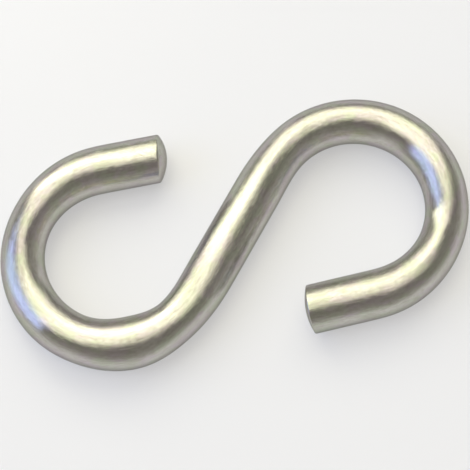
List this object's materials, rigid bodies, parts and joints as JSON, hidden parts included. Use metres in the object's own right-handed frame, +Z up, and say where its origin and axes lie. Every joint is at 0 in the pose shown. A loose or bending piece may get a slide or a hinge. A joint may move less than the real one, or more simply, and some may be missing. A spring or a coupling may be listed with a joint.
{
  "type": "s hook",
  "caption": "Open S hook bent from 6 mm round steel bar: straight shank, two open eyes facing opposite ways, short straight tails with crowned ends.",
  "frame": {"origin": "middle of the shank, on the surface the hook lies on", "axes": "+X along the load line through both eyes, towards the eye whose bend is on the right seen from above; +Z up, square to the plane of the S"},
  "size_m": [0.0576, 0.0287, 0.006],
  "materials": {
    "steel": "satin"
  },
  "bodies": {
    "root": {"hook": "steel"}
  },
  "joints": []
}
